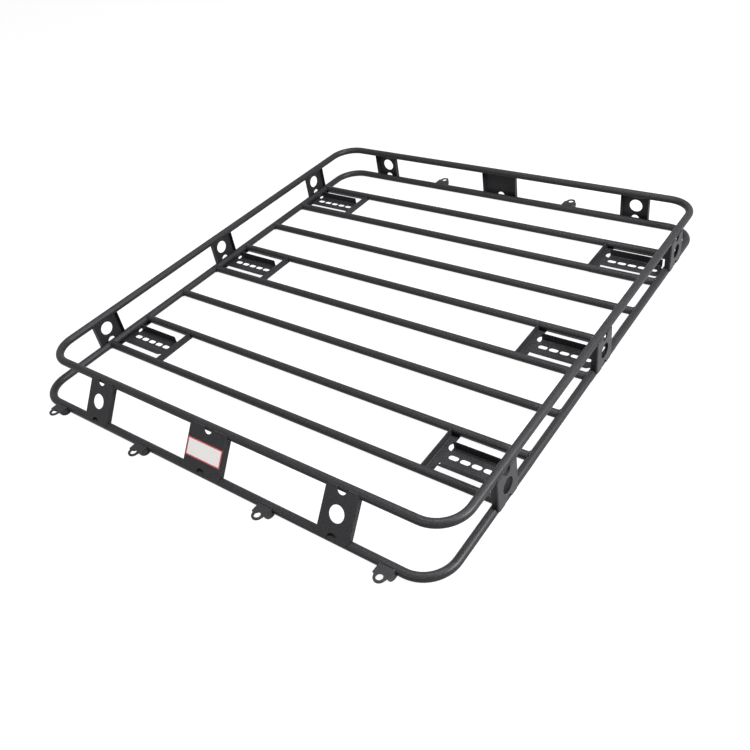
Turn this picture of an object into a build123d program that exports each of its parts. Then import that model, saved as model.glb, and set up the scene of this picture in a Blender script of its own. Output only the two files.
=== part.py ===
from build123d import *
import os
from math import cos, hypot, radians, sin

# Roof rack: a welded basket of round steel tube that stands on six folded mounting trays.
# X runs across the rack, Y along it with the raked front at -Y, and Z up. The origin lies under the
# middle of the lower hoop, level with the undersides of the trays. Every length is in millimetres.

# Stock
tube_d = 20.0
sheet = 2.0  # plate that the uprights and trays are folded from
tab_plate = 3.0
bend_r = 2.0  # inside radius of every fold
weld_gap = 0.2  # fit-up gap at every welded seat

# Hoops, between the centre lines of their tubes
rack_width = 1216.0
floor_length = 1351.0
front_rake = 62.5  # how far the upper hoop's front stands behind the lower one's
rail_spacing = 85.5
corner_r = 72.0

# Cross bars, from the rear of the lower hoop
rear_setback = 143.0
pair_pitch = 136.0  # between the two bars that carry a pair of trays
bay_pitch = 141.7  # between neighbouring bars with no tray
cope_trim = 3.0  # thin tips ground off coped ends, also those of the trays

# Uprights, folded channels between the hoops
plate_width = 82.0
centre_plate_width = 116.0
plate_depth = 15.0
plate_edge = 2.0  # upper and lower edges, from the tubes' centre lines
plate_hole_d = 37.0
notch_r = 11.3
front_plate_inset = 238.0  # side rail's centre line to the middle of an outer upright
rear_plate_inset = 171.0
side_plate_inset = 183.0  # upper hoop's end to the middle of the nearest side upright

# Mounting trays, slit and folded from one sheet each
tray_inset = 190.0  # side rail's centre line to the inner end
tray_lap = 6.0  # past the centre line of the side rail
bar_lap = 1.0  # past the centre lines of the bars
tray_fold = 22.0  # height of the folded inner end
channel_width = 56.0
channel_length = 144.0
wall_height = 21.5  # rear wall, folded upright
flap_tilt = 35.0  # front wall, folded part of the way up
flap_reach = 20.0
slit_width = 36.0
slit_length = 155.0
relief_r = 12.5  # half-round relief past the ends of the rear wall
slot_count = 5
slot_pitch = 28.2
slot_length = 24.0
slot_width = 13.0

# Light tabs on the ends of the lower hoop
tab_width = 37.0
tab_drop = 1.5  # ear's upper face below the tube's top line
tab_shoulder = 20.0  # from the tube's centre line to where the ear tapers
tab_reach = 34.0  # from the tube's centre line to the hole
tab_ring_r = 13.0
tab_hole_d = 15.0
gusset_reach = 31.0
gusset_turn = 72.0  # angle below the level, round the tube, at which a gusset ends
front_tab_inset = 104.0  # side rail's centre line to an outer tab
front_tab_gap = 308.0  # outer tab to the next one
rear_tab_inset = 381.0

# Values that follow from the sizes above
tube_r = tube_d / 2
seat_r = tube_r + weld_gap
turn = sheet + bend_r
plate_set_out = seat_r + weld_gap + sheet
rail_z = sheet + weld_gap + tube_r
front_y = -floor_length / 2
rear_y = floor_length / 2
upper_middle = front_rake / 2
side_plate_pitch = (floor_length - front_rake) / 2 - side_plate_inset
bar_steps = [pair_pitch, bay_pitch, bay_pitch, pair_pitch, bay_pitch, bay_pitch, pair_pitch]
bar_y = [rear_y - rear_setback - sum(bar_steps[:count]) for count in range(len(bar_steps) + 1)][::-1]
tray_y = [(bar_y[first] + bar_y[first + 1]) / 2 for first in (0, 3, 6)]


def rod(radius, length):
    """A round bar along X through the origin."""
    return Rot(0, 90, 0) * Cylinder(radius, length)


def hoop(length, middle, height):
    """A tube bent into a closed rectangle with round corners."""
    path = (Pos(0, middle, height) * RectangleRounded(rack_width, length, corner_r)).wire()
    section = Plane(origin=path @ 0, z_dir=path % 0) * Circle(tube_r)
    return sweep(section, path=path)


def cross_bar(y):
    """A cross bar, coped at both ends to seat on the side rails."""
    bar = rod(tube_r, rack_width - 2 * cope_trim)
    for side in (-1, 1):
        bar -= Pos(side * rack_width / 2, 0, 0) * Rot(90, 0, 0) * Cylinder(seat_r, 4 * tube_d)
    return Pos(0, y, rail_z) * bar


def channel(width, depth):
    """The section of a folded channel: its web along X, its sides up along Y."""
    skin = Rectangle(width, depth, align=(Align.CENTER, Align.MIN))
    skin = fillet(skin.vertices().group_by(Axis.Y)[0], turn)
    hollow = Pos(0, sheet) * Rectangle(width - 2 * sheet, depth, align=(Align.CENTER, Align.MIN))
    hollow = fillet(hollow.vertices().group_by(Axis.Y)[0], bend_r)
    return skin - hollow


def upright(width, span, pierced):
    """An upright on a rail through the origin: X along the rail, Y outwards, Z up to the other rail."""
    section = Pos(0, plate_set_out) * Rot(0, 0, 180) * channel(width, plate_depth)
    plate = Pos(0, 0, plate_edge) * extrude(section, amount=span - 2 * plate_edge)
    for seat_z, notch_z in ((0, plate_edge), (span, span - plate_edge)):
        plate -= Pos(0, 0, seat_z) * rod(seat_r, 2 * width)
        plate -= Pos(0, plate_set_out, notch_z) * Rot(90, 0, 0) * Cylinder(notch_r, plate_depth)
    if pierced:
        plate -= Pos(0, plate_set_out, span / 2) * Rot(90, 0, 0) * Cylinder(plate_hole_d / 2, plate_depth)
    return plate


def fold(length, angle, reach):
    """A flap folded up from a sheet's edge along X through the origin; it leaves the edge towards Y."""
    edge = Plane.XZ * Pos(0, sheet / 2) * Rectangle(length, sheet)
    bend = revolve(edge, Axis((0, 0, turn), (1, 0, 0)), angle)
    flat = Box(length, reach, sheet, align=(Align.CENTER, Align.MIN, Align.MIN))
    return bend + Pos(0, 0, turn) * Rot(angle, 0, 0) * Pos(0, 0, -turn) * flat


def tray():
    """The right-hand tray about its own middle, its underside at Z 0 and its folded end at -X."""
    length = tray_inset + tray_lap
    depth = pair_pitch + 2 * bar_lap
    floor = Pos(turn / 2, 0, sheet / 2) * Box(length - turn, depth, sheet)
    slit_from = channel_width / 2 - turn
    slit_to = channel_width / 2 + slit_width
    for side in (-1, 1):
        slit_y = side * (slit_from + slit_to) / 2
        floor -= Pos(0, slit_y, 0) * Box(slit_length, slit_to - slit_from, 4 * sheet)
    wall = Pos(0, slit_from, 0) * fold(channel_length, 90, wall_height - turn)
    flap = Pos(0, -slit_from, 0) * mirror(fold(channel_length, flap_tilt, flap_reach), about=Plane.XZ)
    lip = Rot(0, 0, 90) * fold(pair_pitch - 2 * cope_trim, 90, tray_fold - turn)
    for side in (-1, 1):
        lip -= Pos(0, side * pair_pitch / 2, rail_z) * rod(seat_r, 4 * tray_fold)
    body = floor + wall + flap + Pos(turn - length / 2, 0, 0) * lip
    for end in (-1, 1):
        half = Pos(end * relief_r, 0, 0) * Box(2 * relief_r, 2 * relief_r, 2 * turn)
        body -= Pos(end * channel_length / 2, channel_width / 2, 0) * (Cylinder(relief_r, 2 * turn) & half)
    for place in range(slot_count):
        slot_x = (place - (slot_count - 1) / 2) * slot_pitch
        slot = extrude(SlotOverall(slot_length, slot_width), amount=2 * sheet, both=True)
        body -= Pos(slot_x, 0, 0) * slot
    return body


def light_tab():
    """A light tab on a tube through the origin along X: a pierced ear out along Y and two round gussets."""
    top = tube_r - tab_drop
    base = Pos(0, tab_shoulder / 2) * Rectangle(tab_width, tab_shoulder)
    ring = Pos(0, tab_reach) * Circle(tab_ring_r)
    ear = make_hull(base.edges() + ring.edges())
    tab = Pos(0, 0, top - tab_plate) * extrude(ear, amount=tab_plate)
    foot = (tube_r * cos(radians(gusset_turn)), -tube_r * sin(radians(gusset_turn)))
    round_edge = TangentArc((gusset_reach, top), foot, tangent=(0, -1))
    outline = [Line((0, top), (gusset_reach, top)), round_edge, Line(foot, (0, 0)), Line((0, 0), (0, top))]
    gusset = make_face(outline)
    for side in (-1, 1):
        place = Pos(side * (tab_width - tab_plate) / 2, 0, 0)
        tab += place * extrude(Plane.YZ * gusset, amount=tab_plate / 2, both=True)
    tab -= rod(seat_r, 2 * tab_width)
    tab -= Pos(0, tab_reach, top) * Cylinder(tab_hole_d / 2, 4 * tab_plate)
    return tab


pieces = {}

# The two hoops and the cross bars of the floor, bar 1 nearest the front
pieces["lower_rail"] = hoop(floor_length, 0, rail_z)
pieces["upper_rail"] = hoop(floor_length - front_rake, upper_middle, rail_z + rail_spacing)
for number, y in enumerate(bar_y, start=1):
    pieces[f"cross_bar_{number}"] = cross_bar(y)

# Uprights of the raked front and the rear
front_rise = (0, front_rake, rail_spacing)
front_span = hypot(front_rake, rail_spacing)
front_x = rack_width / 2 - front_plate_inset
back_x = rack_width / 2 - rear_plate_inset
for name, side in (("left", -1), ("centre", 0), ("right", 1)):
    width = plate_width if side else centre_plate_width
    lean = Plane(origin=(side * front_x, front_y, rail_z), x_dir=(-1, 0, 0), z_dir=front_rise)
    pieces[f"front_plate_{name}"] = lean * upright(width, front_span, side != 0)
    stand = Plane(origin=(side * back_x, rear_y, rail_z), x_dir=(1, 0, 0), z_dir=(0, 0, 1))
    pieces[f"rear_plate_{name}"] = stand * upright(width, rail_spacing, side != 0)

# Uprights and trays of the two sides, row 1 nearest the front
side_plate = upright(plate_width, rail_spacing, True)
right_tray = tray()
left_tray = mirror(right_tray, about=Plane.YZ)
tray_x = rack_width / 2 - tray_inset + (tray_inset + tray_lap) / 2
for name, side, piece in (("left", -1, left_tray), ("right", 1, right_tray)):
    for row in range(3):
        plate_y = upper_middle + (row - 1) * side_plate_pitch
        stand = Plane(origin=(side * rack_width / 2, plate_y, rail_z), x_dir=(0, -side, 0), z_dir=(0, 0, 1))
        plate = stand * side_plate
        for y in bar_y:
            plate -= Pos(0, y, rail_z) * rod(seat_r, rack_width)
        pieces[f"side_plate_{name}_{row + 1}"] = plate
        pieces[f"mount_tray_{name}_{row + 1}"] = Pos(side * tray_x, tray_y[row], 0) * piece

# Light tabs of the front and the rear, numbered from the left
outer_x = rack_width / 2 - front_tab_inset
inner_x = outer_x - front_tab_gap
rear_x = rack_width / 2 - rear_tab_inset
for number, x in enumerate((-outer_x, -inner_x, inner_x, outer_x), start=1):
    pieces[f"front_light_tab_{number}"] = Pos(x, front_y, rail_z) * Rot(0, 0, 180) * light_tab()
for number, x in enumerate((-rear_x, rear_x), start=1):
    pieces[f"rear_light_tab_{number}"] = Pos(x, rear_y, rail_z) * light_tab()

os.makedirs("parts", exist_ok=True)
for name, piece in pieces.items():
    export_step(piece, f"parts/{name}.step")
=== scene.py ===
from math import atan2, cos, pi, radians, sin, sqrt

import bmesh
import bpy
from mathutils import Matrix, Vector


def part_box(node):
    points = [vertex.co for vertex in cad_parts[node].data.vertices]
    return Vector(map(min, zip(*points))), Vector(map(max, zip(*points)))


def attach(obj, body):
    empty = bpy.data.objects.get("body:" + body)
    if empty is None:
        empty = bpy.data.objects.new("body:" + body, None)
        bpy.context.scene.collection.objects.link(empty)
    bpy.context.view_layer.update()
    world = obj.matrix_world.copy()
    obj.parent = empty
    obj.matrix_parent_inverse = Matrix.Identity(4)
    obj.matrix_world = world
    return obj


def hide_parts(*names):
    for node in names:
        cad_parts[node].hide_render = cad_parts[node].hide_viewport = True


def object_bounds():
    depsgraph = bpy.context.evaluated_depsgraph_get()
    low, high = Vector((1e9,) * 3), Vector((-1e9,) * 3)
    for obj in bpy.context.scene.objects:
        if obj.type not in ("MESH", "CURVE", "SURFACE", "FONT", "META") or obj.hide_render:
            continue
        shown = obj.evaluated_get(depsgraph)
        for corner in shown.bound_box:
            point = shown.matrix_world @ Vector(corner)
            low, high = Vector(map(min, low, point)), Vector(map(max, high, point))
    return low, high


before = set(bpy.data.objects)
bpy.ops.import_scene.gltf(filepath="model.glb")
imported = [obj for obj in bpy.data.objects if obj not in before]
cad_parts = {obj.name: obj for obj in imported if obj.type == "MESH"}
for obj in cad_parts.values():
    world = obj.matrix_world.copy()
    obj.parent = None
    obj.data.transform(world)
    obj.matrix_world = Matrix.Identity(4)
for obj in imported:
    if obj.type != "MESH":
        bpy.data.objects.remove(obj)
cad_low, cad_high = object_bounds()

bl_info = {
    "name": "Roof rack",
    "version": (1, 0, 0),
    "blender": (4, 5, 0),
    "location": "3D View > Sidebar > Rack",
    "description": "Dresses the welded roof rack and sets it in a white studio",
    "category": "Object",
}

# Places read from the solids, in metres
low_rail, high_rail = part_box("lower_rail")
low_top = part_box("upper_rail")[0]
tube = high_rail.z - low_rail.z
half_x = (high_rail.x - low_rail.x - tube) / 2
lower_front = low_rail.y + tube / 2
upper_front = low_top.y + tube / 2
rear = high_rail.y - tube / 2
lower_z = low_rail.z + tube / 2
upper_z = low_top.z + tube / 2
bar_names = [f"cross_bar_{number}" for number in range(1, 9)]
plate_names = sorted(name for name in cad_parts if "_plate_" in name)
tray_names = sorted(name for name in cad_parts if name.startswith("mount_tray"))
tab_names = sorted(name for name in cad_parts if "_light_tab_" in name)
# Outer face of an upright past the tubes' centre lines, and its lower edge above the lower tube's
set_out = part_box("side_plate_right_1")[1].x - half_x
seat_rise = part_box("rear_plate_left")[0].z - lower_z

# Hoops and plates
corner_steps = 14  # faces along a bent corner of a hoop
same_place = 1e-6  # points closer than this are one, in metres
flat_angle = radians(0.5)  # faces that turn by less than this are one flat
cut_angle = radians(50)  # edges that turn by more than this are cut edges, not folds

# Weld beads, with lengths in metres
bead_sides = 8  # faces round a bead
ripple_steps = 4  # faces along each ripple
ripple_share = 0.16  # swell of a ripple, as a share of the bead's half width
tip_share = 0.45  # half width at a bead's very ends, as a share of the whole
ring_share = 0.45  # least way of a ring weld from the rail's centre line, as a share of the tube's radius
tray_bead_share = 0.6  # half width of the beads at the trays, as a share of the others'
tray_bead_height = 0.0018  # middles of those beads above the trays' undersides
tray_margin = 0.01  # bare length at a tray's corners
plate_margin = 0.004  # bare length at an upright's folds
tab_margin = 0.003  # bare length at a tab's sides

# Patterns of the finishes and the label's place, with sizes in metres
grain_size = 0.0015  # the coat's own grain is about 0.4 mm; larger, it shows in a close view
drift_size = 0.06  # the coat's thickness and gloss drift
mottle_size = 0.003  # printed ink
mottle_depth = 0.9  # darkest ink, as a share of its colour
scuff_size = 0.02  # film over the ink
label_rise = 0.48  # label's middle, as a share of the way up the front

# Studio, in metres and watts
floor_size = 60  # runs far past the view
floor_drop = 0.0005  # below the trays, so that no two faces lie in one plane
air_light = 0.06  # what the air adds to the lamps
lamps = (  # name, place, width and power
    ("key", (2.3, 0.1, 1.5), 0.9, 170),
    ("fill", (-0.4, -2.8, 1.6), 1.8, 32),
    ("top", (0.2, 0.2, 3.4), 1.4, 110),
)

# Camera of the photograph: its place, the rows of its turn, its lens on 36 mm and a half pixel's shift
camera_place = (1.14591, -1.32246, 1.20053)
camera_turn = ((0.80561, -0.27634, 0.52405), (0.57422, 0.58192, -0.57588), (-0.14582, 0.76486, 0.62748))
camera_lens = 37.489
half_pixel = 0.5 / 750


class RackSizes(bpy.types.PropertyGroup):
    """Sizes of what the dressing adds to the solids."""

    corner: bpy.props.FloatProperty(
        name="Corner radius", description="Bend of the hoops at the tube's centre line", default=0.072,
        min=0.02, unit="LENGTH")
    rounds: bpy.props.IntProperty(
        name="Facets", description="Faces round a tube", default=40, min=12, max=96)
    edge: bpy.props.FloatProperty(
        name="Edge break", description="Rounding of cut plate edges", default=0.0004, min=0.0001,
        unit="LENGTH")
    bead: bpy.props.FloatProperty(
        name="Weld bead", description="Half the width of a weld bead", default=0.0022, min=0.0005,
        unit="LENGTH")
    ripple: bpy.props.FloatProperty(
        name="Weld ripple", description="Spacing of the ripples along a bead", default=0.003, min=0.001,
        unit="LENGTH")
    clear: bpy.props.FloatProperty(
        name="Notch clearance", description="Bare length each side of an upright's middle", default=0.012,
        min=0.002, unit="LENGTH")
    label_width: bpy.props.FloatProperty(
        name="Label width", description="Blank label across the front plate", default=0.106, min=0.01,
        unit="LENGTH")
    label_height: bpy.props.FloatProperty(
        name="Label height", description="Blank label up the front plate", default=0.042, min=0.01,
        unit="LENGTH")
    label_border: bpy.props.FloatProperty(
        name="Label border", description="Width of the label's coloured edge", default=0.004, min=0.0005,
        unit="LENGTH")
    label_thick: bpy.props.FloatProperty(
        name="Label thickness", description="Vinyl and its adhesive", default=0.0003, min=0.0001,
        unit="LENGTH")


class RackColours(bpy.types.PropertyGroup):
    """Colours of the finishes, as they look on a screen."""

    coat: bpy.props.StringProperty(
        name="Powder coat", description="Black coat, as a hex colour", default="#121214")
    # Paler colour of the grain's crests: partly the coat's own random tone, partly painted glints of light
    coat_painted_glint: bpy.props.StringProperty(
        name="Powder coat, crests", description="Paler crests of the coat's texture", default="#2e2e31")
    paper: bpy.props.StringProperty(
        name="Label", description="Blank label's field", default="#e3e0de")
    border: bpy.props.StringProperty(
        name="Label border", description="Blank label's border", default="#b8474c")


def linear(code):
    """A hex colour from the screen as linear red, green, blue and a full alpha."""
    colour = []
    for place in (1, 3, 5):
        share = int(code[place:place + 2], 16) / 255
        colour.append(share / 12.92 if share <= 0.04045 else ((share + 0.055) / 1.055) ** 2.4)
    return colour + [1.0]


def add(tree, kind, links=(), **settings):
    """Adds a node, sets its attributes and sockets, and links sockets to it."""
    node = tree.nodes.new(kind)
    for name, value in settings.items():
        if hasattr(node, name):
            setattr(node, name, value)
        else:
            node.inputs[name.replace("_", " ")].default_value = value
    for source, socket in links:
        tree.links.new(source, node.inputs[socket])
    return node


def fresh(name):
    """A new material with an empty tree and its output node."""
    material = bpy.data.materials.new(name)
    material.use_nodes = True
    material.node_tree.nodes.clear()
    return material, material.node_tree, material.node_tree.nodes.new("ShaderNodeOutputMaterial")


def powder_coat():
    """Black textured powder coat: baked polyester, matt, with a fine leathery grain whose crests are
    painted paler as glints of light.
    """
    made = bpy.data.materials.get("black_textured_powder_coat")
    if made:
        return made
    colours = bpy.context.scene.rack_colours
    material, tree, output = fresh("black_textured_powder_coat")
    place = add(tree, "ShaderNodeTexCoord")
    grain = add(tree, "ShaderNodeTexNoise", [(place.outputs["Object"], "Vector")],
                Scale=1 / grain_size, Detail=3.0, Roughness=0.6)
    drift = add(tree, "ShaderNodeTexNoise", [(place.outputs["Object"], "Vector")],
                Scale=1 / drift_size, Detail=2.0)
    # The grain's crests are painted paler: partly random tone of the coat, partly painted glints of light
    # on the texture
    painted_glint_mask = add(tree, "ShaderNodeMapRange", [(grain.outputs["Fac"], "Value")], From_Min=0.42, From_Max=0.66)
    tint = add(tree, "ShaderNodeMix", [(painted_glint_mask.outputs["Result"], "Factor")], data_type="RGBA")
    tint.inputs[6].default_value = linear(colours.coat)
    tint.inputs[7].default_value = linear(colours.coat_painted_glint)
    gloss = add(tree, "ShaderNodeMapRange", [(drift.outputs["Fac"], "Value")], To_Min=0.38, To_Max=0.5)
    bump = add(tree, "ShaderNodeBump", [(grain.outputs["Fac"], "Height")], Strength=0.7, Distance=0.0003)
    coat = add(tree, "ShaderNodeBsdfPrincipled",
               [(tint.outputs[2], "Base Color"), (gloss.outputs["Result"], "Roughness"),
                (bump.outputs["Normal"], "Normal")], IOR=1.45, Specular_IOR_Level=0.2)
    tree.links.new(coat.outputs["BSDF"], output.inputs["Surface"])
    return material


def label_vinyl(name, code):
    """Printed vinyl under a clear film: half gloss, with a slight mottle and a few scuffs."""
    material, tree, output = fresh(name)
    place = add(tree, "ShaderNodeTexCoord")
    mottle = add(tree, "ShaderNodeTexNoise", [(place.outputs["Object"], "Vector")],
                 Scale=1 / mottle_size, Detail=2.0)
    colour = linear(code)
    tint = add(tree, "ShaderNodeMix", [(mottle.outputs["Fac"], "Factor")], data_type="RGBA")
    tint.inputs[6].default_value = [share * mottle_depth for share in colour[:3]] + [1.0]
    tint.inputs[7].default_value = colour
    scuff = add(tree, "ShaderNodeTexNoise", [(place.outputs["Object"], "Vector")],
                Scale=1 / scuff_size, Detail=4.0)
    gloss = add(tree, "ShaderNodeMapRange", [(scuff.outputs["Fac"], "Value")], To_Min=0.28, To_Max=0.5)
    film = add(tree, "ShaderNodeBsdfPrincipled",
               [(tint.outputs[2], "Base Color"), (gloss.outputs["Result"], "Roughness")], IOR=1.5)
    tree.links.new(film.outputs["BSDF"], output.inputs["Surface"])
    return material


def finish_piece(bm, name, materials, nodes=(), sharp=None):
    """Turns a bmesh into a piece that stands for the named solids; edges past sharp degrees stay hard."""
    bmesh.ops.recalc_face_normals(bm, faces=bm.faces)
    mesh = bpy.data.meshes.new(name)
    bm.to_mesh(mesh)
    bm.free()
    for face in mesh.polygons:
        face.use_smooth = True
    if sharp:
        mesh.set_sharp_from_angle(angle=radians(sharp))
    for material in materials:
        mesh.materials.append(material)
    piece = bpy.data.objects.new(name, mesh)
    bpy.context.scene.collection.objects.link(piece)
    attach(piece, "root")
    if nodes:
        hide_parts(*nodes)
    return piece


def bend_hoop(front, height):
    """A closed hoop of tube, run along its sides and spun round its corners."""
    sizes = bpy.context.scene.rack_sizes
    turn = sizes.corner
    bm = bmesh.new()
    bmesh.ops.create_circle(bm, segments=sizes.rounds, radius=tube / 2)
    start = Matrix.Translation((half_x, front + turn, height)) @ Matrix.Rotation(radians(90), 4, "X")
    bmesh.ops.transform(bm, matrix=start, verts=bm.verts)
    loop = bm.edges[:]
    corners = [(half_x - turn, rear - turn), (-half_x + turn, rear - turn),
               (-half_x + turn, front + turn), (half_x - turn, front + turn)]
    runs = [(0, rear - front - 2 * turn), (2 * (turn - half_x), 0), (0, front - rear + 2 * turn),
            (2 * (half_x - turn), 0)]
    for corner, run in zip(corners, runs):
        grown = bmesh.ops.extrude_edge_only(bm, edges=loop)["geom"]
        ends = [item for item in grown if isinstance(item, bmesh.types.BMVert)]
        loop = [item for item in grown if isinstance(item, bmesh.types.BMEdge)]
        bmesh.ops.translate(bm, verts=ends, vec=(*run, 0))
        spun = bmesh.ops.spin(bm, geom=ends + loop, cent=(*corner, height), axis=(0, 0, 1), angle=pi / 2,
                              steps=corner_steps)
        loop = [item for item in spun["geom_last"] if isinstance(item, bmesh.types.BMEdge)]
    bmesh.ops.remove_doubles(bm, verts=bm.verts, dist=same_place)
    return bm


class RACK_OT_hoops(bpy.types.Operator):
    """Bends the two tube hoops"""

    bl_idname = "rack.hoops"
    bl_label = "Hoops"

    def execute(self, context):
        coat = powder_coat()
        finish_piece(bend_hoop(lower_front, lower_z), "lower_hoop", [coat], ["lower_rail"])
        finish_piece(bend_hoop(upper_front, upper_z), "upper_hoop", [coat], ["upper_rail"])
        return {"FINISHED"}


class RACK_OT_bars(bpy.types.Operator):
    """Lays the cross bars between the side rails"""

    bl_idname = "rack.bars"
    bl_label = "Cross bars"

    def execute(self, context):
        sizes = context.scene.rack_sizes
        for name in bar_names:
            low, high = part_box(name)
            bm = bmesh.new()
            bmesh.ops.create_cone(bm, cap_ends=True, segments=sizes.rounds, radius1=tube / 2,
                                  radius2=tube / 2, depth=2 * half_x - tube / 2)
            place = Matrix.Translation((low + high) / 2) @ Matrix.Rotation(radians(90), 4, "Y")
            bmesh.ops.transform(bm, matrix=place, verts=bm.verts)
            finish_piece(bm, f"bar_{name[-1]}", [powder_coat()], [name], sharp=40)
        return {"FINISHED"}


class RACK_OT_plates(bpy.types.Operator):
    """Breaks the cut edges of the folded uprights, trays and tabs and coats them"""

    bl_idname = "rack.plates"
    bl_label = "Folded plates"

    def execute(self, context):
        sizes = context.scene.rack_sizes
        for name in plate_names + tray_names + tab_names:
            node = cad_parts[name]
            bm = bmesh.new()
            bm.from_mesh(node.data)
            bmesh.ops.transform(bm, matrix=node.matrix_world, verts=bm.verts)
            bmesh.ops.remove_doubles(bm, verts=bm.verts, dist=same_place)
            bmesh.ops.dissolve_limit(bm, angle_limit=flat_angle, verts=bm.verts, edges=bm.edges)
            cut = [edge for edge in bm.edges if edge.is_manifold and edge.calc_face_angle() > cut_angle]
            bmesh.ops.bevel(bm, geom=cut, offset=sizes.edge, offset_type="OFFSET", segments=2, profile=0.5,
                            affect="EDGES", material=-1, clamp_overlap=True)
            piece = finish_piece(bm, f"{name}_coated", [powder_coat()], [name], sharp=25)
            # Large flats keep their own normal where a fold leaves them
            flats = piece.modifiers.new("flats", "WEIGHTED_NORMAL")
            flats.keep_sharp = True
            flats.weight = 100
        return {"FINISHED"}


def join(bm, part):
    """Adds a small bmesh to a larger one."""
    mesh = bpy.data.meshes.new("part")
    part.to_mesh(mesh)
    part.free()
    bm.from_mesh(mesh)
    bpy.data.meshes.remove(mesh)


def weld_ring(bm, y, side):
    """A rippled bead round a bar's end, laid on the round face of the side rail."""
    sizes = bpy.context.scene.rack_sizes
    radius = tube / 2
    count = round(2 * pi * radius / sizes.ripple)
    ring = bmesh.new()
    bmesh.ops.create_circle(ring, segments=bead_sides, radius=sizes.bead,
                            matrix=Matrix.Translation((0, radius, 0)))
    bmesh.ops.spin(ring, geom=ring.verts[:] + ring.edges[:], cent=(0, 0, 0), axis=(1, 0, 0), angle=2 * pi,
                   steps=ripple_steps * count, use_merge=True)
    for vert in ring.verts:
        angle = atan2(vert.co.z, vert.co.y)
        spine = Vector((0, radius * cos(angle), radius * sin(angle)))
        spot = spine + (vert.co - spine) * (1 + ripple_share * cos(count * angle))
        rest = max(sqrt(max(radius**2 - spine.z**2, 0)), ring_share * radius)
        vert.co = Vector((side * (half_x - rest) + spot.x, y + spot.y, lower_z + spot.z))
    join(bm, ring)


def weld_run(bm, start, end, share=1.0):
    """A straight rippled bead between two points, thinner at both ends; share scales its width."""
    sizes = bpy.context.scene.rack_sizes
    way = end - start
    steps = ripple_steps * max(round(way.length / sizes.ripple), 2)
    turn = way.to_track_quat("Z", "Y").to_matrix().to_4x4()
    run = bmesh.new()
    bmesh.ops.create_circle(run, cap_ends=True, segments=bead_sides, radius=share * sizes.bead,
                            matrix=Matrix.Translation(start) @ turn)
    bmesh.ops.spin(run, geom=run.faces[:], cent=start, axis=way.normalized(), dvec=way / steps, angle=0,
                   steps=steps)
    for vert in run.verts:
        along = (vert.co - start).dot(way) / way.length
        spine = start + way.normalized() * along
        near_end = min(along, way.length - along) / sizes.ripple
        swell = min(tip_share + (1 - tip_share) * near_end, 1.0)
        swell *= 1 + ripple_share * cos(2 * pi * along / sizes.ripple)
        vert.co = spine + (vert.co - spine) * swell
    join(bm, run)


class RACK_OT_bar_welds(bpy.types.Operator):
    """Lays a weld round each end of the cross bars"""

    bl_idname = "rack.bar_welds"
    bl_label = "Bar welds"

    def execute(self, context):
        bm = bmesh.new()
        for name in bar_names:
            low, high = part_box(name)
            for side in (-1, 1):
                weld_ring(bm, (low.y + high.y) / 2, side)
        finish_piece(bm, "bar_welds", [powder_coat()])
        return {"FINISHED"}


def upright_frame(name):
    """An upright's foot on the lower tube, its way along the tube, out and up, and its half width."""
    low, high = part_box(name)
    middle = (low + high) / 2
    plumb = Vector((0, 0, upper_z - lower_z))
    if name.startswith("side"):
        side = 1 if middle.x > 0 else -1
        foot = Vector((side * half_x, middle.y, lower_z))
        return foot, Vector((0, 1, 0)), Vector((side, 0, 0)), plumb, (high.y - low.y) / 2
    if name.startswith("rear"):
        foot = Vector((middle.x, rear, lower_z))
        return foot, Vector((1, 0, 0)), Vector((0, 1, 0)), plumb, (high.x - low.x) / 2
    foot = Vector((middle.x, lower_front, lower_z))
    rise = Vector((0, upper_front - lower_front, upper_z - lower_z))
    out = Vector((0, -rise.z, rise.y)).normalized()
    return foot, Vector((1, 0, 0)), out, rise, (high.x - low.x) / 2


class RACK_OT_plate_welds(bpy.types.Operator):
    """Welds the uprights to the hoops, the trays to the bars and the tabs to the lower hoop"""

    bl_idname = "rack.plate_welds"
    bl_label = "Plate welds"

    def execute(self, context):
        sizes = context.scene.rack_sizes
        bm = bmesh.new()
        for name in plate_names:
            foot, along, out, rise, half = upright_frame(name)
            step = rise.normalized() * (seat_rise - sizes.bead / 2)
            ledge = out * (set_out - sizes.bead)
            for seat in (foot + ledge + step, foot + rise + ledge - step):
                for way in (-along, along):
                    weld_run(bm, seat + way * sizes.clear, seat + way * (half - plate_margin))
        for name in tray_names:
            low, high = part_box(name)
            seat = low.z + tray_bead_height
            third = (high.x - low.x) / 3
            spans = [(low.x + tray_margin, low.x + third), (high.x - third, high.x - tray_margin)]
            for y in (low.y, high.y):
                for near, far in spans:
                    weld_run(bm, Vector((near, y, seat)), Vector((far, y, seat)), share=tray_bead_share)
        for name in tab_names:
            low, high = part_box(name)
            end = -1 if low.y < 0 else 1
            line = lower_front if end < 0 else rear
            rise = high.z - lower_z
            y = line + end * sqrt(tube**2 / 4 - rise**2)
            weld_run(bm, Vector((low.x + tab_margin, y, high.z)), Vector((high.x - tab_margin, y, high.z)))
        finish_piece(bm, "plate_welds", [powder_coat()])
        return {"FINISHED"}


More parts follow.
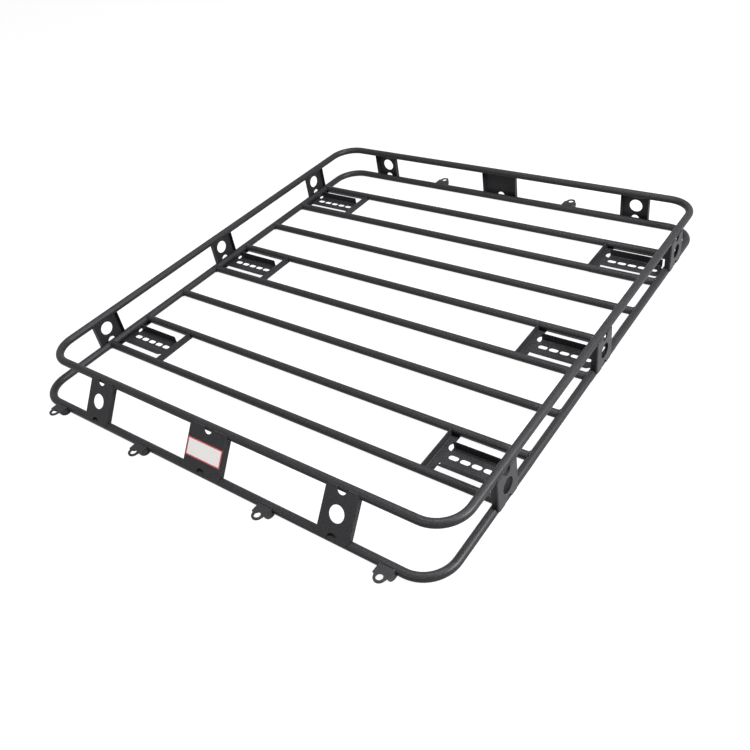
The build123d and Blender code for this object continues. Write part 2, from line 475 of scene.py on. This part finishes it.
class RACK_OT_label(bpy.types.Operator):
    """Sticks a blank bordered label on the middle front upright"""

    bl_idname = "rack.label"
    bl_label = "Blank label"

    def execute(self, context):
        sizes = context.scene.rack_sizes
        colours = context.scene.rack_colours
        foot, along, out, rise, _ = upright_frame("front_plate_centre")
        bm = bmesh.new()
        bmesh.ops.create_cube(bm, size=1)
        flat = Matrix.Diagonal((sizes.label_width, sizes.label_height, sizes.label_thick, 1))
        bmesh.ops.transform(bm, matrix=flat, verts=bm.verts)
        front = max(bm.faces, key=lambda face: face.calc_center_median().z)
        bmesh.ops.inset_region(bm, faces=[front], thickness=sizes.label_border)
        for face in bm.faces:
            face.material_index = 0 if face is front else 1
        middle = foot + rise * label_rise + out * (set_out + sizes.label_thick / 2)
        turn = Matrix((along, rise.normalized(), out)).transposed().to_4x4()
        bmesh.ops.transform(bm, matrix=Matrix.Translation(middle) @ turn, verts=bm.verts)
        paper = label_vinyl("white_label_vinyl", colours.paper)
        border = label_vinyl("red_label_ink", colours.border)
        finish_piece(bm, "blank_label", [paper, border], sharp=20)
        return {"FINISHED"}


def seen_directly(tree):
    """A socket that is 1 for what the eye sees straight, in a reflection or through glass, and else 0."""
    light = add(tree, "ShaderNodeLightPath").outputs
    seen = add(tree, "ShaderNodeMath", [(light["Is Camera Ray"], 0), (light["Is Glossy Ray"], 1)],
               operation="MAXIMUM")
    seen = add(tree, "ShaderNodeMath", [(seen.outputs[0], 0), (light["Is Transmission Ray"], 1)],
               operation="MAXIMUM")
    return seen.outputs[0]


def studio_white(name, paleness, glow):
    """A pale floor that reads as white in view and in reflections, and still takes a shadow."""
    material, tree, output = fresh(name)
    level = add(tree, "ShaderNodeMath", [(seen_directly(tree), 0)], operation="MULTIPLY")
    level.inputs[1].default_value = glow
    shine = add(tree, "ShaderNodeEmission", [(level.outputs[0], "Strength")])
    plain = add(tree, "ShaderNodeBsdfDiffuse")
    plain.inputs["Color"].default_value = (paleness, paleness, paleness, 1)
    both = add(tree, "ShaderNodeAddShader", [(shine.outputs[0], 0), (plain.outputs[0], 1)])
    tree.links.new(both.outputs[0], output.inputs["Surface"])
    return material


class RACK_OT_stage(bpy.types.Operator):
    """Sets the floor, the lights and the camera"""

    bl_idname = "rack.stage"
    bl_label = "Studio"

    def execute(self, context):
        scene = context.scene
        scene.view_settings.view_transform = "Standard"
        bm = bmesh.new()
        bmesh.ops.create_grid(bm, x_segments=1, y_segments=1, size=floor_size)
        mesh = bpy.data.meshes.new("floor")
        bm.to_mesh(mesh)
        bm.free()
        mesh.materials.append(studio_white("studio_floor", paleness=0.12, glow=0.96))
        floor = bpy.data.objects.new("floor", mesh)
        floor.location.z = cad_low.z - floor_drop
        scene.collection.objects.link(floor)
        world = bpy.data.worlds.new("studio_air")
        scene.world = world
        world.use_nodes = True
        tree = world.node_tree
        tree.nodes.clear()
        # Seen directly the air is white, and it lights the rack only a little
        air = add(tree, "ShaderNodeBackground", Strength=air_light)
        white = add(tree, "ShaderNodeBackground", Strength=1.0)
        for shade in (air, white):
            shade.inputs["Color"].default_value = (1, 1, 1, 1)
        mix = add(tree, "ShaderNodeMixShader",
                  [(seen_directly(tree), 0), (air.outputs[0], 1), (white.outputs[0], 2)])
        output = tree.nodes.new("ShaderNodeOutputWorld")
        tree.links.new(mix.outputs[0], output.inputs["Surface"])
        for name, place, size, power in lamps:
            lamp = bpy.data.lights.new(name, "AREA")
            lamp.size = size
            lamp.energy = power
            stand = bpy.data.objects.new(name, lamp)
            stand.location = place
            stand.rotation_euler = (-Vector(place)).to_track_quat("-Z", "Y").to_euler()
            scene.collection.objects.link(stand)
        eye = bpy.data.cameras.new("camera")
        eye.sensor_width = 36
        eye.lens = camera_lens
        eye.shift_x = -half_pixel
        eye.shift_y = half_pixel
        camera = bpy.data.objects.new("camera", eye)
        camera.matrix_world = Matrix.Translation(camera_place) @ Matrix(camera_turn).to_4x4()
        scene.collection.objects.link(camera)
        scene.camera = camera
        return {"FINISHED"}


operators = (RACK_OT_hoops, RACK_OT_bars, RACK_OT_plates, RACK_OT_bar_welds, RACK_OT_plate_welds,
             RACK_OT_label, RACK_OT_stage)


class RACK_PT_panel(bpy.types.Panel):
    """The rack's pieces and studio, one button each"""

    bl_label = "Roof rack"
    bl_space_type = "VIEW_3D"
    bl_region_type = "UI"
    bl_category = "Rack"

    def draw(self, context):
        for maker in operators:
            self.layout.operator(maker.bl_idname)


classes = (RackSizes, RackColours, *operators, RACK_PT_panel)


def register():
    for item in classes:
        bpy.utils.register_class(item)
    bpy.types.Scene.rack_sizes = bpy.props.PointerProperty(type=RackSizes)
    bpy.types.Scene.rack_colours = bpy.props.PointerProperty(type=RackColours)


def unregister():
    del bpy.types.Scene.rack_colours
    del bpy.types.Scene.rack_sizes
    for item in reversed(classes):
        bpy.utils.unregister_class(item)


def main():
    register()
    bpy.ops.rack.hoops()
    bpy.ops.rack.bars()
    bpy.ops.rack.plates()
    bpy.ops.rack.bar_welds()
    bpy.ops.rack.plate_welds()
    bpy.ops.rack.label()
    bpy.ops.rack.stage()


if __name__ == "__main__":
    main()
